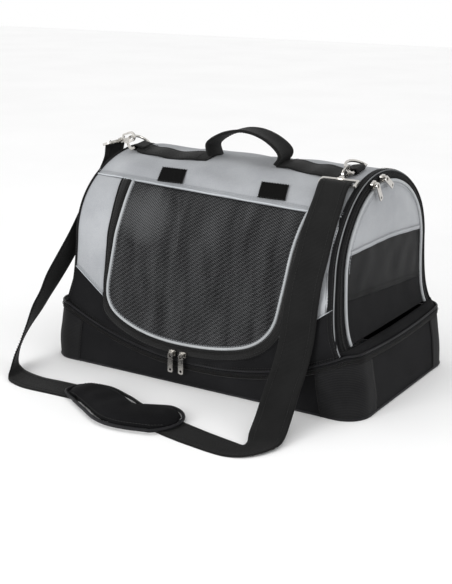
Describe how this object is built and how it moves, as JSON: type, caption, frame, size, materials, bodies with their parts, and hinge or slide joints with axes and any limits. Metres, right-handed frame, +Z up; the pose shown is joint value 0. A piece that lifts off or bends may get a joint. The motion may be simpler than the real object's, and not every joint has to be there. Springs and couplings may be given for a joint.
{
  "type": "pet carrier bag",
  "caption": "Arched soft pet carrier on a shallow zip-off base tub, with a mesh front door, a zipped end door, a top handle, and a padded shoulder strap on snap hooks.",
  "frame": {"origin": "middle of the base tub's underside, on the floor", "axes": "+X along the bag towards the zipped end door, +Y to the back, +Z up"},
  "size_m": [0.516, 0.4786, 0.338],
  "materials": {
    "grey_fabric": "silver grey woven polyester",
    "black_fabric": "black woven polyester",
    "mesh": "black open mesh",
    "piping": "light grey piping",
    "zip": "black zip tape with coil teeth",
    "webbing": "black ribbed webbing",
    "chrome": "bright nickel plate",
    "hook_and_loop": "black hook and loop pile",
    "plush": "grey plush",
    "board": "matt stiffening board"
  },
  "bodies": {
    "base": {"base_wall": "black_fabric", "base_floor": "black_fabric", "base_corner_panels": "black_fabric", "stiffening_board": "board", "base_zip_lower": "zip"},
    "mat": {"base_mat": "plush"},
    "base_slider": {"base_slider": "chrome"},
    "base_pull": {"base_pull": "chrome"},
    "upper": {"rim_roll": "black_fabric", "base_zip_upper": "zip", "skirt": "black_fabric", "top_panel": "grey_fabric", "back_panel": "black_fabric", "front_lower_panel": "black_fabric", "front_side_left": "grey_fabric", "front_side_right": "grey_fabric", "front_zip_tape": "zip", "front_hem": "piping", "door_patches": "hook_and_loop", "end_frame_left": "black_fabric", "end_frame_right": "black_fabric", "arch_piping": "piping", "arch_binding": "black_fabric", "end_grey_left": "grey_fabric", "end_mesh_left": "mesh", "end_black_left": "black_fabric", "end_welt_left": "piping", "top_webbing_left": "webbing", "top_webbing_right": "webbing", "ring_keepers": "webbing", "hook_eye_left": "chrome", "hook_eye_right": "chrome", "strap_folds": "webbing", "strap_right": "webbing", "strap_floor": "webbing", "strap_left": "webbing"},
    "front_door": {"front_door_mesh": "mesh", "front_door_piping": "piping", "front_door_tabs": "hook_and_loop"},
    "front_slider_left": {"front_slider_left": "chrome"},
    "front_slider_right": {"front_slider_right": "chrome"},
    "front_pull_left": {"front_pull_left": "chrome"},
    "front_pull_right": {"front_pull_right": "chrome"},
    "end_door": {"end_grey_right": "grey_fabric", "end_mesh_right": "mesh", "end_black_right": "black_fabric", "end_welt_right": "piping"},
    "end_slider_front": {"end_slider_front": "chrome"},
    "end_slider_back": {"end_slider_back": "chrome"},
    "end_pull_front": {"end_pull_front": "chrome"},
    "end_pull_back": {"end_pull_back": "chrome"},
    "carry_handle": {"carry_handle": "webbing"},
    "d_ring_left": {"d_ring_left": "chrome"},
    "d_ring_right": {"d_ring_right": "chrome"},
    "snap_hook_left": {"snap_hook_left": "chrome"},
    "snap_hook_right": {"snap_hook_right": "chrome"},
    "hook_gate_left": {"hook_gate_left": "chrome"},
    "hook_gate_right": {"hook_gate_right": "chrome"},
    "shoulder_pad": {"shoulder_pad": "black_fabric"}
  },
  "joints": [
    {"name": "base_unzip", "type": "slide", "parent": "base", "child": "upper", "axis": [0, 0, 1], "range_m": [0, 0.25]},
    {"name": "mat_lift", "type": "slide", "parent": "base", "child": "mat", "axis": [0, 0, 1], "range_m": [0, 0.04]},
    {"name": "base_zip_travel", "type": "slide", "parent": "base", "child": "base_slider", "axis": [1, 0, 0], "range_m": [-0.12, 0.06]},
    {"name": "base_pull_swing", "type": "hinge", "parent": "base_slider", "child": "base_pull", "pos_m": [0.06, 0.1593, 0.071], "axis": [1, 0, 0], "range_deg": [0, 150]},
    {"name": "front_door_swing", "type": "hinge", "parent": "upper", "child": "front_door", "pos_m": [0, -0.101, 0.2586], "axis": [-1, 0, 0], "range_deg": [0, 120]},
    {"name": "front_zip_left", "type": "slide", "parent": "upper", "child": "front_slider_left", "axis": [-1, 0, 0], "range_m": [0, 0.015]},
    {"name": "front_zip_right", "type": "slide", "parent": "upper", "child": "front_slider_right", "axis": [1, 0, 0], "range_m": [0, 0.05]},
    {"name": "front_pull_left_swing", "type": "hinge", "parent": "front_slider_left", "child": "front_pull_left", "pos_m": [-0.029, -0.15942, 0.0474], "axis": [-1, 0, 0], "range_deg": [0, 150]},
    {"name": "front_pull_right_swing", "type": "hinge", "parent": "front_slider_right", "child": "front_pull_right", "pos_m": [-0.012, -0.15942, 0.0474], "axis": [-1, 0, 0], "range_deg": [0, 150]},
    {"name": "end_door_swing", "type": "hinge", "parent": "upper", "child": "end_door", "pos_m": [0.2225, 0, 0.09], "axis": [0, 1, 0], "range_deg": [0, 90]},
    {"name": "carry_handle_lean", "type": "hinge", "parent": "upper", "child": "carry_handle", "pos_m": [0, -0.022, 0.3], "axis": [1, 0, 0], "range_deg": [-50, 50]},
    {"name": "d_ring_left_swing", "type": "hinge", "parent": "upper", "child": "d_ring_left", "pos_m": [-0.175, -0.022, 0.29778], "axis": [0, 0.9903, 0.1392], "range_deg": [-4, 4]},
    {"name": "d_ring_right_swing", "type": "hinge", "parent": "upper", "child": "d_ring_right", "pos_m": [0.175, -0.022, 0.29778], "axis": [0, 0.9903, 0.1392], "range_deg": [-5, 1]},
    {"name": "snap_hook_left_swivel", "type": "hinge", "parent": "upper", "child": "snap_hook_left", "pos_m": [-0.18946, -0.02367, 0.30967], "axis": [0.9397, 0, 0.342], "range_deg": [-15, 15]},
    {"name": "snap_hook_right_swivel", "type": "hinge", "parent": "upper", "child": "snap_hook_right", "pos_m": [0.16828, -0.04121, 0.29865], "axis": [0, 0.9063, 0.4226], "range_deg": [-7, 11]},
    {"name": "hook_gate_left_press", "type": "hinge", "parent": "snap_hook_left", "child": "hook_gate_left", "pos_m": [-0.20298, -0.02367, 0.31114], "axis": [0, 1, 0], "range_deg": [0, 12], "stiffness_Nm_per_rad": 0.02, "springref_deg": -11.46},
    {"name": "hook_gate_right_press", "type": "hinge", "parent": "snap_hook_right", "child": "hook_gate_right", "pos_m": [0.16828, -0.0548, 0.29893], "axis": [-1, 0, 0], "range_deg": [0, 12], "stiffness_Nm_per_rad": 0.02, "springref_deg": -11.46},
    {"name": "shoulder_pad_travel", "type": "slide", "parent": "upper", "child": "shoulder_pad", "axis": [1, 0, 0], "range_m": [-0.04, 0.04]},
    {"name": "end_zip_front", "type": "hinge", "parent": "end_door", "child": "end_slider_front", "pos_m": [0.20589, -0.0018, 0.145], "axis": [1, 0, 0], "range_deg": [0, 12]},
    {"name": "end_pull_front_swing", "type": "hinge", "parent": "end_slider_front", "child": "end_pull_front", "pos_m": [0.21349, -0.046, 0.2845], "axis": [1, 0, 0], "range_deg": [-60, 20]},
    {"name": "end_zip_back", "type": "hinge", "parent": "end_door", "child": "end_slider_back", "pos_m": [0.20531, -0.0001, 0.1359], "axis": [1, 0, 0], "range_deg": [-15, 0]},
    {"name": "end_pull_back_swing", "type": "hinge", "parent": "end_slider_back", "child": "end_pull_back", "pos_m": [0.21291, -0.018, 0.2889], "axis": [1, 0, 0], "range_deg": [-70, 15]}
  ]
}
